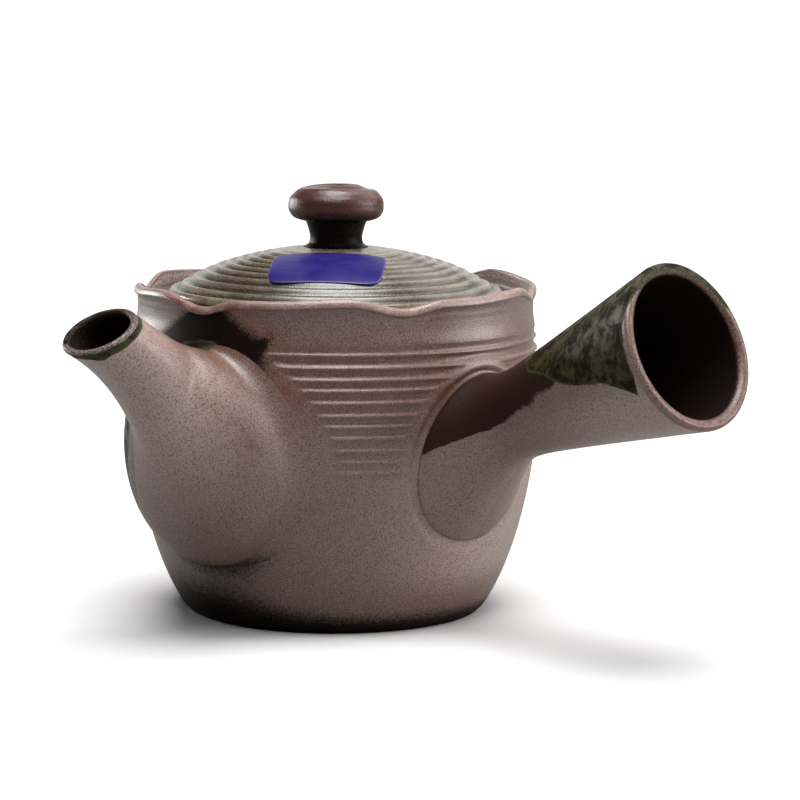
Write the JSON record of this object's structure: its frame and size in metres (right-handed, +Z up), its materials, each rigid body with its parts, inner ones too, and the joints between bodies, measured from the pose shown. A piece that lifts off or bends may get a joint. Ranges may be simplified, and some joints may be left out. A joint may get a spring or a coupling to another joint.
{
  "type": "side-handled teapot",
  "caption": "Stoneware side-handled teapot: grooved round pot with a foliate rim, bulbous upturned spout, hollow flared side handle, and a ridged domed lid with a knob that lifts off.",
  "frame": {"origin": "centre of the flat base, on the pot's turning axis", "axes": "+Z up along the turning axis, +X along the plan direction of the side handle, so the spout points close to -Y"},
  "size_m": [0.1612, 0.1333, 0.0995],
  "materials": {
    "pot_clay": "satin",
    "spout_clay": "satin",
    "handle_clay": "satin",
    "strainer_clay": "matte",
    "lid_glaze": "gloss",
    "knob_glaze": "gloss",
    "label_film": "gloss"
  },
  "bodies": {
    "pot": {"pot_body": "pot_clay", "spout": "spout_clay", "handle": "handle_clay", "strainer": "strainer_clay"},
    "lid": {"lid": "lid_glaze", "lid_knob": "knob_glaze", "lid_label": "label_film"}
  },
  "joints": [
    {"name": "lid_lift", "type": "slide", "parent": "pot", "child": "lid", "axis": [0, 0, 1], "range_m": [0, 0.06]}
  ]
}
